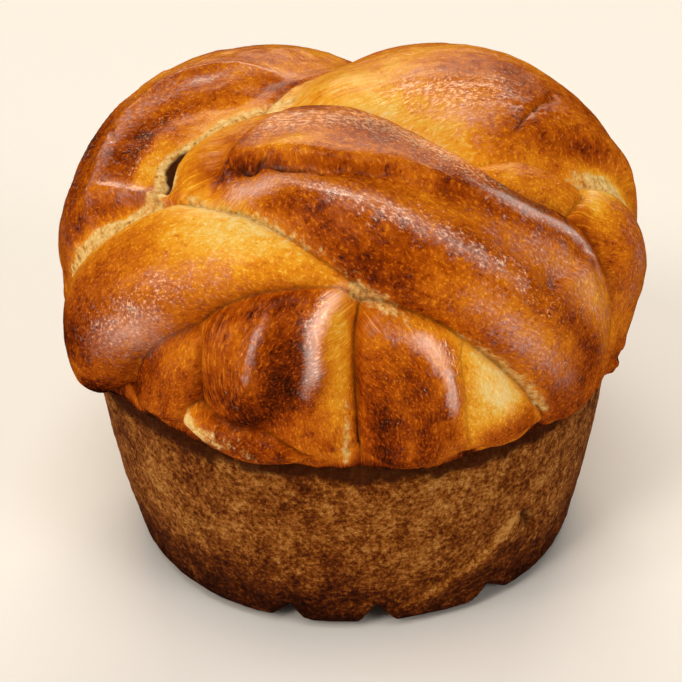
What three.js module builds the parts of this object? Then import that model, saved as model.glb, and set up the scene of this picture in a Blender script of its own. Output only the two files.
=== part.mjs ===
// Filled braided bread, baked in a round tin.
//
// One closed body: a smooth tin-shaped base with a flat sole, and above the tin's rim a
// domed crown of thick dough strands that cross over each other.
//
// Millimetres, +Z up, origin at the centre of the sole. -Y is the front, where the broad
// top strand runs down from the left to the right and three short ends stand side by side
// under it.

import * as THREE from 'three';
import { mergeVertices } from 'three/addons/utils/BufferGeometryUtils.js';

// ---------------------------------------------------------------- driving dimensions
const LOAF_HEIGHT = 146;        // sole to the top of the crown's smooth envelope
const CROWN_RADIUS = 90;        // widest radius of the crown's envelope
const BULGE_HEIGHT = 79;        // height of that widest ring
const CROWN_BOXINESS = 0.68;    // 1 is an ellipse, lower is flatter on top and fuller at the side
const UNDER_BOXINESS = 0.8;     // the same for the turn in under the widest ring
const RIM_RADIUS = 80.5;        // where the crown meets the tin-shaped base
const RIM_HEIGHT = 66;
const FOOT_RADIUS = 71.8;       // bottom of the base wall, above the rounded edge
const FOOT_HEIGHT = 7.5;        // height of the rounded bottom edge
const SOLE_RADIUS = 64;         // flat disc that the loaf stands on
const WALL_BELLY = 1.2;         // how far the base wall swells between rim and foot

const FLOOR_LEVEL = -9;         // deepest the gaps between strands go, under the envelope
const RIM_FLOOR_LEVEL = -5;     // and close above the rim
const SIDE_STEEPNESS = 0.85;    // below 1, so that a strand's sides are steep but not upright
const BLEND = 2;                // softness of the crease where two strands meet
const KIN_BLEND = 2.5;          // and where one strand runs into another
const STRAND_SAMPLES = 30;      // points along each strand's centreline
const NEARNESS = 14;            // how sharply the nearest part of a strand wins
const RIM_FADE = 10;            // the strands flatten out over this length above the rim
const SUBDIVISION = 21;         // of the sphere that is drawn out into the loaf

// Mesh density: how finely each zone of the surface is divided, relative to the others.
const CROWN_DENSITY = 1.3;
const WALL_DENSITY = 0.8;
const SOLE_DENSITY = 0.3;

const CRUST_COLOUR = 0xb56a29;
const CRUST_ROUGHNESS = 0.45;

// ---------------------------------------------------------------- the strands
// The crown is laid out flat: a point's distance from (0, 0) is its distance from the top
// along the envelope, and its direction is its compass direction on the loaf. Each strand is
// a centreline of [x, y, half width, level above the envelope], with the depth of its sides
// and the fullness of its section. A strand can run into another one without a crease.
const STRANDS = {
  // Broad strand from the upper left down to the right.
  top: {
    line: [[-36, -36, 23, -1.5], [-12, -37, 35, 4], [14, -59, 32, 4.5], [50, -74, 30, 3],
      [72, -77, 34, 2.5], [92, -86, 29, 1], [108, -108, 24, -2]],
    depth: 15,
    fullness: 2.8,
  },
  // Curling from the left front over to the back.
  left: {
    line: [[-106, -56, 26, -10], [-100, -22, 38, -1], [-84, 12, 45, -0.5], [-46, 54, 40, 1.5],
      [-14, 86, 33, -3]],
    depth: 15,
    fullness: 2.2,
  },
  // Big and smooth, behind the right.
  shoulder: {
    line: [[8, 6, 30, 0], [38, 12, 44, 5], [80, 10, 44, 0.5], [112, 4, 40, -1], [140, -6, 34, -3]],
    depth: 15,
    fullness: 2.1,
  },
  // Small, between the shoulder and the top strand.
  knuckle: {
    line: [[34, -46, 14, -6], [54, -38, 15, -3.5], [72, -38, 14, -4]],
    depth: 9,
    fullness: 2.2,
  },
  // Down to the rim behind the end of the top strand.
  right: {
    line: [[76, -42, 15, -3], [98, -40, 24, 2.5], [113, -58, 26, -2.5], [122, -104, 22, -6]],
    depth: 12,
    fullness: 2.2,
  },
  // Out from under the top strand and down to the left rim.
  frontLeft: {
    line: [[16, -88, 4, -6], [-4, -81, 8, -3.5], [-25, -72, 17, -1], [-50, -65, 23, 1],
      [-77, -63, 20.5, 2.5], [-103, -61, 20.5, 4], [-121, -61, 22, 1.8], [-136, -62, 22, -2]],
    depth: 12,
    fullness: 2.4,
  },
  // Low end tucked in under it.
  tuck: {
    line: [[-44, -92, 6, -7], [-64, -98, 12, -5.5], [-88, -104, 20, -4.5], [-108, -108, 24, -5]],
    depth: 9,
    fullness: 2.2,
  },
  // Front end, left of the middle, and the thin hem that hangs over the rim beside it.
  endLeft: {
    line: [[-6, -90, 10, -3], [-31, -108, 33, -1], [-33, -126, 36, -2.5], [-30, -142, 38, -3]],
    depth: 11,
    fullness: 2.4,
  },
  hemLeft: {
    line: [[-73, -113, 6, -4], [-60, -124, 9.5, -1], [-42, -133, 12, 0], [-22, -139, 10, -3]],
    depth: 7,
    fullness: 2.0,
  },
  // Front end, right of the middle, and the leaf-shaped tail that runs out of it.
  endRight: {
    line: [[11, -96, 14, -4.5], [27, -116, 27, -1], [32, -142, 34, -2]],
    depth: 11,
    fullness: 2.3,
  },
  leaf: {
    line: [[34, -107, 15, -3], [54, -117, 19, -1], [70, -117, 17, -2], [86, -110, 9, -4.5]],
    depth: 10,
    fullness: 2.3,
    runsInto: 'endRight',
  },
  // Thin lip along the rim under the top strand's end.
  lip: {
    line: [[94, -118, 14, -6], [104, -112, 16, -6], [114, -102, 14, -6]],
    depth: 9,
    fullness: 2.2,
  },
  // The braid carries on round the back in four more strands.
  backLeft: {
    line: [[-130, 4, 28, 0], [-114, 56, 34, 2], [-76, 96, 34, 3], [-22, 118, 28, -2]],
    depth: 14,
    fullness: 2.3,
  },
  backEnd: {
    line: [[-14, 96, 22, -4], [6, 112, 32, 1], [14, 136, 34, 1]],
    depth: 12,
    fullness: 2.2,
  },
  backRight: {
    line: [[30, 80, 22, -5], [56, 86, 34, 2], [94, 80, 38, 3], [128, 40, 34, 1]],
    depth: 14,
    fullness: 2.3,
  },
  backLow: {
    line: [[48, 134, 26, -2], [80, 124, 26, -1], [118, 88, 24, -1]],
    depth: 12,
    fullness: 2.2,
  },
};

// Folds on the strands: a line of [x, y, amount], the fold's half width, and its kind. A
// ridge stands up, a groove cuts in, and a step lifts the left of the line and drops the right.
const FOLDS = [
  // Top strand: step under its upper roll, the roll's left end, the ridge along the middle and
  // the crease across the right end.
  { kind: 'step', width: 4, line: [[-36, -45, 1.4], [-22, -45, 2.8], [14, -54, 1.7], [64, -66, 0.6]] },
  { kind: 'step', width: 4, line: [[-26, -56, 0], [-34, -45, -1.6], [-28, -30, -1.6], [-14, -14, -0.4]] },
  { kind: 'ridge', width: 4.5, line: [[-18, -53, 0.4], [-9, -61, 1.8], [20, -72, 2], [62, -84, 1]] },
  { kind: 'step', width: 4, line: [[78, -52, 0.4], [70, -64, 1.6], [60, -76, 1.4], [54, -82, 0]] },
  // Left strand: hollow and ridge along it, and the fold at its lower end.
  { kind: 'groove', width: 5, line: [[-74, -34, 1], [-60, 0, 2.2], [-22, 16, 0.4]] },
  { kind: 'ridge', width: 4.5, line: [[-82, -30, 1], [-69, 5, 1.8], [-46, 27, 1.6], [-20, 30, 0.6]] },
  { kind: 'ridge', width: 4.5, line: [[-82, -22, 0.6], [-72, -27, 2.2], [-61, -35, 2.8], [-50, -43, 1.4]] },
  // Pit where three strands meet.
  { kind: 'groove', width: 5, line: [[-51, -13, 0.5], [-54, -19, 4], [-55.5, -26, 4], [-56, -32, 1]] },
  // Overhanging edge of the shoulder.
  { kind: 'step', width: 5, line: [[44, -26, 0.4], [56, -20, 1.8], [72, -13, 2.4], [90, -8, 2.4]] },
  // Hollow and ridge of the left front end, and ridge of the right one.
  { kind: 'groove', width: 7, line: [[-21, -95, 2], [-22, -108, 3.6], [-27, -117, 3.8], [-38, -124, 2.5]] },
  { kind: 'ridge', width: 4.5, line: [[-4, -89, 1.6], [-10, -103, 2.6], [-12, -110, 2.2], [-17, -118, 0.8]] },
  { kind: 'ridge', width: 4, line: [[26, -99, 1.2], [32, -108, 2], [38, -118, 0.8]] },
];

// Rise of the line where crown and base meet: [degrees from the front, height].
const RIM_LINE = [[-180, 0], [-75, 0.3], [-52, 1.8], [-41, 4], [-33, 1.6], [-27, 2.9], [-10, 1.7], [0, 0.9],
  [15, 0], [180, 0]];
const RIM_LINE_REACH = 12;      // how far along the surface the rise fades

// Seams of the dough at the bottom edge: degrees from the front, depth, half width, height.
const SEAMS = [
  { angle: -17.5, depth: 4.5, halfWidth: 4, height: 10 },
  { angle: 4.5, depth: 5, halfWidth: 4, height: 10 },
  { angle: 34, depth: 4, halfWidth: 5, height: 9 },
  { angle: 128, depth: 4, halfWidth: 4.5, height: 9 },
  { angle: -140, depth: 4.2, halfWidth: 4.5, height: 9 },
];
const SEAM_INNER_RADIUS = 44;   // how far in under the loaf a seam reaches
const SEAM_LIFT = 0.9;          // how much a seam lifts the bottom edge, as a share of its depth

// The base is not quite round: [lobes, amount at the foot, phase] of its slow waves.
const WALL_WAVES = [[1, 0.5, 3.1], [2, 0.4, 0.4], [3, 0.6, -1.6], [5, 0.3, 4]];
const WAVES_AT_RIM = 0.4;       // share of the waves that is left at the rim
const SOLE_FLAT_RADIUS = 30;    // and where they have faded out on the sole

// ---------------------------------------------------------------- smooth envelope
// Half outline of the envelope from the top to the middle of the sole, as [radius, height],
// with the mesh density of each stretch.
function envelopeOutline() {
  const outline = [];
  const crownSteps = 160;
  for (let i = 0; i <= crownSteps; i++) {
    const angle = (1 - i / crownSteps) * Math.PI / 2;
    const across = i === 0 ? 0 : CROWN_RADIUS * Math.cos(angle) ** CROWN_BOXINESS;
    const up = BULGE_HEIGHT + (LOAF_HEIGHT - BULGE_HEIGHT) * Math.sin(angle) ** CROWN_BOXINESS;
    outline.push({ radius: across, height: up, density: CROWN_DENSITY });
  }
  const underSteps = 24;
  for (let i = 1; i <= underSteps; i++) {
    const angle = i / underSteps * Math.PI / 2;
    const across = i === underSteps ? 0 : Math.cos(angle) ** UNDER_BOXINESS;
    outline.push({
      radius: RIM_RADIUS + (CROWN_RADIUS - RIM_RADIUS) * across,
      height: BULGE_HEIGHT - (BULGE_HEIGHT - RIM_HEIGHT) * Math.sin(angle) ** UNDER_BOXINESS,
      density: CROWN_DENSITY,
    });
  }
  const wallSteps = 30;
  for (let i = 1; i <= wallSteps; i++) {
    const down = i / wallSteps;
    outline.push({
      radius: RIM_RADIUS + (FOOT_RADIUS - RIM_RADIUS) * down + WALL_BELLY * Math.sin(Math.PI * down),
      height: RIM_HEIGHT + (FOOT_HEIGHT - RIM_HEIGHT) * down,
      density: WALL_DENSITY,
    });
  }
  const edgeSteps = 14;
  for (let i = 1; i <= edgeSteps; i++) {
    const angle = i / edgeSteps * Math.PI / 2;
    outline.push({
      radius: SOLE_RADIUS + (FOOT_RADIUS - SOLE_RADIUS) * Math.cos(angle),
      height: FOOT_HEIGHT * (1 - Math.sin(angle)),
      density: WALL_DENSITY,
    });
  }
  const soleSteps = 20;
  for (let i = 1; i <= soleSteps; i++) {
    outline.push({ radius: SOLE_RADIUS * (1 - i / soleSteps), height: 0, density: SOLE_DENSITY });
  }
  return outline;
}

const outline = envelopeOutline();
outline[0].along = 0;
outline[0].share = 0;
for (let i = 1; i < outline.length; i++) {
  const here = outline[i];
  const before = outline[i - 1];
  const length = Math.hypot(here.radius - before.radius, here.height - before.height);
  here.along = before.along + length;
  here.share = before.share + here.density * length * (here.radius + before.radius) / 2;
}
const rimIndex = outline.findIndex((point) => point.height <= RIM_HEIGHT);
const RIM_ALONG = outline[rimIndex].along;
const fullShare = outline[outline.length - 1].share;

// Point of the outline where the named running value reaches the target.
function outlineAt(key, target) {
  let low = 0;
  let high = outline.length - 1;
  while (high - low > 1) {
    const middle = (low + high) >> 1;
    if (outline[middle][key] <= target) {
      low = middle;
    } else {
      high = middle;
    }
  }
  const a = outline[low];
  const b = outline[high];
  const f = THREE.MathUtils.clamp((target - a[key]) / (b[key] - a[key]), 0, 1);
  const length = b.along - a.along;
  return {
    along: a.along + f * length,
    radius: a.radius + f * (b.radius - a.radius),
    height: a.height + f * (b.height - a.height),
    outwards: (a.height - b.height) / length,
    upwards: (b.radius - a.radius) / length,
  };
}

// ---------------------------------------------------------------- strand surface
const smoothCurve = (points) => new THREE.CatmullRomCurve3(points, false, 'catmullrom', 0.5);

for (const strand of Object.values(STRANDS)) {
  const path = smoothCurve(strand.line.map(([x, y, halfWidth]) => new THREE.Vector3(x, y, halfWidth)));
  const levels = smoothCurve(strand.line.map((row) => new THREE.Vector3(row[3], 0, 0)));
  strand.samples = [];
  for (let i = 0; i < STRAND_SAMPLES; i++) {
    const f = i / (STRAND_SAMPLES - 1);
    const { x, y, z } = path.getPoint(f);
    strand.samples.push({ x, y, halfWidth: z, level: levels.getPoint(f).x });
  }
  strand.spacing = path.getLength() / (STRAND_SAMPLES - 1);
}

// Share of a strand's depth that its section has dropped, from 0 at the middle to 1.
function sideDrop(reach) {
  return (1 - Math.sqrt(1 - SIDE_STEEPNESS * reach)) / (1 - Math.sqrt(1 - SIDE_STEEPNESS));
}

// Height of one strand over the envelope at a point of the flat layout. The distance is a
// soft minimum over the centreline, measured in half widths.
function strandHeight(strand, x, y) {
  let total = 0;
  let level = 0;
  let halfWidth = 0;
  for (const sample of strand.samples) {
    const squared = (x - sample.x) ** 2 + (y - sample.y) ** 2 + strand.spacing ** 2;
    const weight = (squared / sample.halfWidth ** 2) ** (-NEARNESS / 2) * strand.spacing / sample.halfWidth;
    total += weight;
    level += weight * sample.level;
    halfWidth += weight * sample.halfWidth;
  }
  const distance = (total / Math.sqrt(2 * Math.PI / NEARNESS)) ** (-1 / NEARNESS);
  const inside = Math.min(distance, 1);
  const beyond = Math.max(distance - 1, 0);
  const drop = strand.depth * sideDrop(inside ** strand.fullness);
  return (level - 3 * beyond * halfWidth) / total - drop;
}

for (const fold of FOLDS) {
  const curve = smoothCurve(fold.line.map(([x, y, amount]) => new THREE.Vector3(x, y, amount)));
  fold.samples = curve.getPoints(24);
}

// Height that one fold adds at a point of the flat layout.
function foldHeight(fold, x, y) {
  let nearest = Infinity;
  let side = 1;
  let amount = 0;
  for (let i = 1; i < fold.samples.length; i++) {
    const a = fold.samples[i - 1];
    const b = fold.samples[i];
    const dx = b.x - a.x;
    const dy = b.y - a.y;
    const f = THREE.MathUtils.clamp(((x - a.x) * dx + (y - a.y) * dy) / (dx * dx + dy * dy), 0, 1);
    const distance = Math.hypot(x - a.x - f * dx, y - a.y - f * dy);
    if (distance < nearest) {
      nearest = distance;
      side = Math.sign(dx * (y - a.y) - dy * (x - a.x));
      amount = a.z + f * (b.z - a.z);
    }
  }
  if (fold.kind === 'step') {
    const reach = Math.exp(-((nearest / (3 * fold.width)) ** 2));
    return amount * Math.tanh(side * nearest / (0.45 * fold.width)) * reach;
  }
  const bump = amount * Math.exp(-((nearest / fold.width) ** 2));
  return fold.kind === 'groove' ? -bump : bump;
}

// Highest of some heights, rounded off where two of them are nearly equal.
function softMax(heights, softness) {
  const highest = Math.max(...heights);
  const sum = heights.reduce((all, height) => all + Math.exp((height - highest) / softness), 0);
  return highest + Math.log(sum) * softness;
}

// Height of the braided crown over its envelope.
function crownHeight(x, y) {
  const heights = {};
  for (const [name, strand] of Object.entries(STRANDS)) {
    heights[name] = strandHeight(strand, x, y);
  }
  for (const [name, { runsInto }] of Object.entries(STRANDS)) {
    if (runsInto) {
      heights[runsInto] = softMax([heights[runsInto], heights[name]], KIN_BLEND);
    }
  }
  const along = Math.hypot(x, y);
  const nearRim = THREE.MathUtils.smoothstep(along, RIM_ALONG - 3 * RIM_FADE, RIM_ALONG - RIM_FADE);
  const floor = THREE.MathUtils.lerp(FLOOR_LEVEL, RIM_FLOOR_LEVEL, nearRim);
  let height = softMax([...Object.values(heights), floor], BLEND);
  for (const fold of FOLDS) {
    height += foldHeight(fold, x, y);
  }
  return height * (1 - THREE.MathUtils.smoothstep(along, RIM_ALONG - RIM_FADE, RIM_ALONG));
}

// ---------------------------------------------------------------- base surface
// How far the base stands out from its envelope, and how far its bottom edge is lifted, at an
// angle from the front, a radius and a height.
function wallShape(angle, radius, height) {
  let offset = 0;
  let lift = 0;
  for (const [lobes, amount, phase] of WALL_WAVES) {
    const share = THREE.MathUtils.lerp(1, WAVES_AT_RIM, height / RIM_HEIGHT);
    offset += amount * share * Math.sin(lobes * angle + phase);
  }
  offset *= THREE.MathUtils.smoothstep(radius, SOLE_FLAT_RADIUS, SOLE_RADIUS);
  for (const seam of SEAMS) {
    const turn = angle - THREE.MathUtils.degToRad(seam.angle);
    const across = Math.abs(Math.atan2(Math.sin(turn), Math.cos(turn))) * radius;
    const up = THREE.MathUtils.clamp(1 - height / seam.height, 0, 1);
    const wedge = Math.max(0, 1 - across / (2 * seam.halfWidth));
    const inwards = THREE.MathUtils.smoothstep(radius, SEAM_INNER_RADIUS, SOLE_RADIUS);
    offset -= seam.depth * wedge * Math.sqrt(up) * inwards;
    lift += SEAM_LIFT * seam.depth * wedge * up * inwards;
  }
  return { offset, lift };
}

// Rise of the surface near the rim, where the crown's ends hang over the base or stand off it.
function rimRise(angle, along) {
  const turn = THREE.MathUtils.radToDeg(Math.atan2(Math.sin(angle), Math.cos(angle)));
  const next = RIM_LINE.findIndex(([degrees], i) => i > 0 && degrees >= turn);
  const [startDegrees, startRise] = RIM_LINE[next - 1];
  const [endDegrees, endRise] = RIM_LINE[next];
  const rise = THREE.MathUtils.mapLinear(turn, startDegrees, endDegrees, startRise, endRise);
  return rise * Math.exp(-(((along - RIM_ALONG) / RIM_LINE_REACH) ** 2));
}

// ---------------------------------------------------------------- the body
// Where an edge of the mesh crosses the rim, its nearer end is moved onto the rim, so that
// the crease under the crown is sharp.
function moveOntoRim(index, places) {
  const rim = outlineAt('along', RIM_ALONG);
  for (let i = 0; i < index.count; i++) {
    const start = index.getX(i);
    const end = index.getX(i % 3 === 2 ? i - 2 : i + 1);
    const above = RIM_ALONG - places[start].along;
    const below = places[end].along - RIM_ALONG;
    if (above * below > 0) {
      places[Math.abs(above) < Math.abs(below) ? start : end] = rim;
    }
  }
}

// A sphere is drawn out over the envelope, then pushed in and out into strands and base.
function breadGeometry() {
  const sphere = new THREE.IcosahedronGeometry(1, SUBDIVISION);
  sphere.deleteAttribute('normal');
  sphere.deleteAttribute('uv');
  const body = mergeVertices(sphere, 1e-5);
  const position = body.getAttribute('position');
  const places = [];
  for (let i = 0; i < position.count; i++) {
    places.push(outlineAt('share', (1 - position.getZ(i)) / 2 * fullShare));
  }
  moveOntoRim(body.getIndex(), places);
  for (let i = 0; i < position.count; i++) {
    const compass = Math.atan2(position.getY(i), position.getX(i));
    const fromFront = compass + Math.PI / 2;
    const place = places[i];
    let out = 0;
    let up = rimRise(fromFront, place.along);
    if (place.along < RIM_ALONG) {
      const height = crownHeight(place.along * Math.cos(compass), place.along * Math.sin(compass));
      out += height * place.outwards;
      up += height * place.upwards;
    } else {
      const { offset, lift } = wallShape(fromFront, place.radius, place.height);
      out += offset;
      up += lift;
    }
    const radius = place.radius + out;
    position.setXYZ(i, radius * Math.cos(compass), radius * Math.sin(compass), place.height + up);
  }
  body.computeVertexNormals();
  return body;
}

const bread = new THREE.Mesh(
  breadGeometry(),
  new THREE.MeshStandardMaterial({ color: CRUST_COLOUR, roughness: CRUST_ROUGHNESS, metalness: 0 }),
);
bread.name = 'bread';

const group = new THREE.Group();
group.add(bread);

export default group;
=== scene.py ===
"""Filled braided bread, baked in a round tin: the crust's fine shape and its browning.

One piece replaces the CAD solid. Its surface is a smooth envelope, laid out flat around the
top of the crown, with the dough strands, folds and torn edges pushed in and out of it.
All sizes in this file are millimetres until MM turns them into metres.
"""

import math

import bpy
import numpy as np
from mathutils import Matrix, Vector


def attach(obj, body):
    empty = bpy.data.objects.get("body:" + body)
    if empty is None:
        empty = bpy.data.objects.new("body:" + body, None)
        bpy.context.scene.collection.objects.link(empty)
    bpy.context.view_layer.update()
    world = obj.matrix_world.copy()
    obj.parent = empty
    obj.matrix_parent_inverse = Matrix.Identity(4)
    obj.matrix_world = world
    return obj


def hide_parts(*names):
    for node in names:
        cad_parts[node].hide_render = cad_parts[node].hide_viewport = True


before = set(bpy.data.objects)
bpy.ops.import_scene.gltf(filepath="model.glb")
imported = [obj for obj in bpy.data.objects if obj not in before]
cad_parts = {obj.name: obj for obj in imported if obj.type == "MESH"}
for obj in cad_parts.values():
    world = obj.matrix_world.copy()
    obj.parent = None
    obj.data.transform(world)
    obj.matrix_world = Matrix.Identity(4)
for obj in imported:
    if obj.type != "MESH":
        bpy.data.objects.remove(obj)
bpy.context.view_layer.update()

MM = 0.001
TINY = 1e-9

# ---- driving dimensions
LOAF_HEIGHT = 146.0  # sole to the top of the crown's smooth envelope
CROWN_RADIUS = 90.0  # widest radius of that envelope
BULGE_HEIGHT = 79.0  # height of the widest ring
CROWN_BOXINESS = 0.68  # 1 is an ellipse, lower is flatter on top and fuller at the side
UNDER_BOXINESS = 0.8  # the same for the turn in under the widest ring
RIM_RADIUS = 80.5  # where the crown meets the tin-shaped base
RIM_HEIGHT = 66.0
FOOT_RADIUS = 71.8  # bottom of the base wall
FOOT_HEIGHT = 7.5  # height of the rounded edge below it
SOLE_RADIUS = 64.0  # flat disc that the loaf stands on
WALL_BELLY = 1.2  # swell of the base wall between rim and foot

FLOOR_LEVEL = -9.0  # deepest that gaps between strands go
FAR_LEVEL = -72.0  # level of a strand far away from it
FALL_AWAY = 3.0  # slope down to there, where a strand has ended
SIDE_STEEPNESS = 0.93  # 1 makes a strand's sides upright
NEARNESS = 14.0  # how sharply the nearest part of a strand wins
REACH = 1.8  # half widths from the centreline at which a strand has ended
BLEND = 0.6  # softness of the crease where two strands meet
KIN_BLEND = 2.5  # and where one strand runs into another
COLOUR_BLEND = 0.8  # height over which their colours blend
CREASE_DEPTH = 1.8  # further cut along the crease
CREASE_WIDTH = 1.1  # half width of that cut
LEAST_SLOPE = 0.25  # taken beside a crease, so that flat places aren't creases
RIM_FADE = 6.0  # the strands flatten out this far above the rim
RELIEF_FADE = 3.0  # and their roughness this far

STRAND_SAMPLES = 90  # points along each strand's centreline
OUTLINE_SAMPLES = (400, 60, 60, 30)  # points on the crown, under it, on the wall, at the foot
CROWN_EDGE = 1.02  # length of the mesh's edges
WALL_EDGE = 1.3
SOLE_EDGE = 4.0
FRONT_DETAIL = 0.3  # share by which they are shorter in front and longer behind
SEED = 11  # each random field adds its own number
OCTAVE_WEIGHT = 0.55  # strength of each finer layer of a random field
OCTAVE_SHIFT = 17.3  # and how far its grid is moved

# ---- strands
# The crown is laid out flat: a point's distance from (0, 0) is its distance from the top
# along the envelope, and its direction is that on the loaf. -Y is the front.
# Depth, fullness and browning, and rows of x, y, half width and level above the envelope
STRANDS = {
    "top": (15, 2.8, 0.68, [-36, -36, 23, -1.5], [-12, -37, 35, 4], [14, -59, 32, 4.5],
        [50, -74, 30, 3], [72, -77, 34, 2.5], [92, -86, 29, 1], [108, -108, 24, -2]),
    "left": (15, 2.2, 0.64, [-106, -56, 26, -10], [-100, -22, 38, -1], [-84, 12, 45, -0.5],
        [-46, 54, 40, 1.5], [-14, 86, 33, -3]),
    "shoulder": (15, 2.1, 0.54, [8, 6, 30, 0], [38, 12, 44, 5], [80, 10, 44, 0.5], [112, 4, 40, -1],
        [140, -6, 34, -6]),
    "knuckle": (9, 2.2, 0.4, [34, -46, 14, -6], [54, -38, 15, -3.5], [72, -38, 14, -4]),
    "right": (12, 2.2, 0.54, [76, -42, 15, -3], [98, -40, 24, 2.5], [113, -58, 26, -2.5],
        [122, -104, 22, -6]),
    "front_left": (12, 2.4, 0.6, [16, -88, 4, -6], [-4, -81, 8, -3.5], [-25, -72, 17, -1],
        [-50, -65, 23, 1], [-77, -63, 20.5, 2.5], [-103, -61, 20.5, 4], [-121, -61, 22, 1.8],
        [-136, -62, 22, -2]),
    "tuck": (9, 2.2, 0.64, [-44, -92, 6, -7], [-64, -98, 12, -5.5], [-88, -104, 20, -4.5],
        [-108, -108, 24, -5]),
    "end_left": (11, 2.4, 0.66, [-6, -90, 10, -3], [-31, -108, 33, -1], [-33, -126, 36, -2.5],
        [-30, -142, 38, -3]),
    "hem_left": (7, 2, 0.76, [-73, -113, 6, -4], [-60, -124, 9.5, -1], [-42, -133, 12, 0],
        [-22, -139, 10, -3]),
    "end_right": (11, 2.3, 0.64, [11, -96, 14, -4.5], [27, -116, 27, -1], [32, -142, 34, -2]),
    "leaf": (10, 2.3, 0.36, [34, -107, 15, -3], [54, -117, 19, -1], [70, -117, 17, -2],
        [86, -110, 9, -4.5]),
    "lip": (9, 2.2, 0.62, [94, -118, 14, -6], [104, -112, 16, -6], [114, -102, 14, -6]),
    "back_left": (14, 2.3, 0.64, [-130, 4, 28, 0], [-114, 56, 34, 2], [-76, 96, 34, 3],
        [-22, 118, 28, -2]),
    "back_end": (12, 2.2, 0.6, [-14, 96, 22, -4], [6, 112, 32, 1], [14, 136, 34, 1]),
    "back_right": (14, 2.3, 0.62, [30, 80, 22, -5], [56, 86, 34, 2], [94, 80, 38, 3],
        [128, 40, 34, 1]),
    "back_low": (12, 2.2, 0.6, [48, 134, 26, -2], [80, 124, 26, -1], [118, 88, 24, -1]),
}
KIN = {"leaf": "end_right"}  # a strand that runs into another one without a crease
NAMES = list(STRANDS)

# The marks that follow are a half width and rows of x, y and amount on the flat layout.

# Folds on the strands, with their kind first. A ridge stands up, a groove cuts in, and a step
# lifts the left of the line and drops the right.
FOLDS = [
    # top strand: step and fold under its upper roll, ridge along its middle, edge of its
    # plateau, crease across its right end
    ("step", 2.8, [-36, -45, 1.4], [-30, -44, 2.8], [-22, -45.5, 2.8], [-6, -50, 2.2],
        [14, -54.5, 1.7], [36, -60, 1.2], [64, -66, 0.6], [84, -68, 0]),
    ("groove", 2.2, [-16, -48, 1], [0, -53, 0.6], [30, -60, 0.4]),
    ("ridge", 3.5, [-18, -53, 0.4], [-9, -61, 1.8], [6, -67, 2], [20, -72, 2], [36, -79, 1.7],
        [62, -83.5, 1], [78, -86, 0]),
    ("step", 3, [-26, -56, 0], [-34, -48, -1.6], [-34, -42, -1.6], [-28, -30, -1.6],
        [-14, -14, -0.4]),
    ("step", 1.5, [76, -56, 0], [71, -62, 1.2], [66, -69, 1.8], [60, -76, 1.6], [54, -82, 0]),
    ("ridge", 2, [34, -56, 0.5], [50, -58, 1.4], [66, -57, 1.2], [78, -60, 0]),
    # left strand: hollow and ridges along it, fold at its lower end
    ("groove", 4, [-74, -34, 1], [-60, 0, 2.2], [-22, 16, 0.4]),
    ("ridge", 2.6, [-82, -30, 1.1], [-69, 5, 2.1], [-46, 27, 2], [-20, 30, 0.8]),
    ("ridge", 1.8, [-94, -34, 0.7], [-84, 6, 0.9], [-58, 40, 0.6]),
    ("ridge", 2.6, [-82, -22, 0.7], [-72, -27, 2.4], [-61, -35, 3], [-50, -43, 1.6]),
    # shoulder: overhanging edge
    ("step", 4, [44, -26, 0.4], [56, -20, 1.8], [72, -13, 2.4], [90, -8, 2.4]),
    # left front end: hollow and ridges
    ("groove", 7, [-21, -95, 2], [-22, -108, 3.6], [-27, -117, 3.8], [-38, -124, 2.5]),
    ("ridge", 1.8, [-26, -92, 0.8], [-31, -98, 1.5], [-38, -109, 1.3], [-42, -115, 0.3]),
    ("ridge", 4, [-4, -89, 1.6], [-8, -95, 2.4], [-10, -103, 2.6], [-12, -110, 2.2],
        [-17, -118, 0.8]),
    # right front end: ridges and a hollow
    ("ridge", 1.6, [4, -97, 0.8], [4, -104, 1.2], [4, -118, 0.8]),
    ("ridge", 2.4, [26, -99, 1.2], [32, -108.5, 2], [38, -118, 0.8]),
    ("groove", 3, [16, -104, 0.8], [20, -114, 1.4], [22, -124, 0.4]),
]
STEP_SLOPE = 0.45  # half widths over which a step climbs
STEP_SPAN = 3.0  # and over which its sides run out

# Cracks and pits, with painted shade at their bottoms; the amount is their depth
CRACKS = [
    (1.9, [-49, -11, 0.4], [-53, -19, 4], [-54.5, -26, 5.5], [-55.5, -33, 2]),
    (0.9, [-36, -44.5, 0.8], [-28, -45, 1.8], [-20, -47, 1.6], [-6, -51, 1.2], [14, -55.5, 0.8],
        [34, -60.5, 0.3]),
    (1.1, [61, 0, 0.8], [54, -11, 1.5], [47, -22, 0.9], [43, -28, 0.1]),
]
CRACK_DARKNESS = 0.55  # painted shade at a crack's bottom, per millimetre of depth
CRACK_WANDER = (3.2, 1.5)  # how far their edges stray: length and amount
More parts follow.
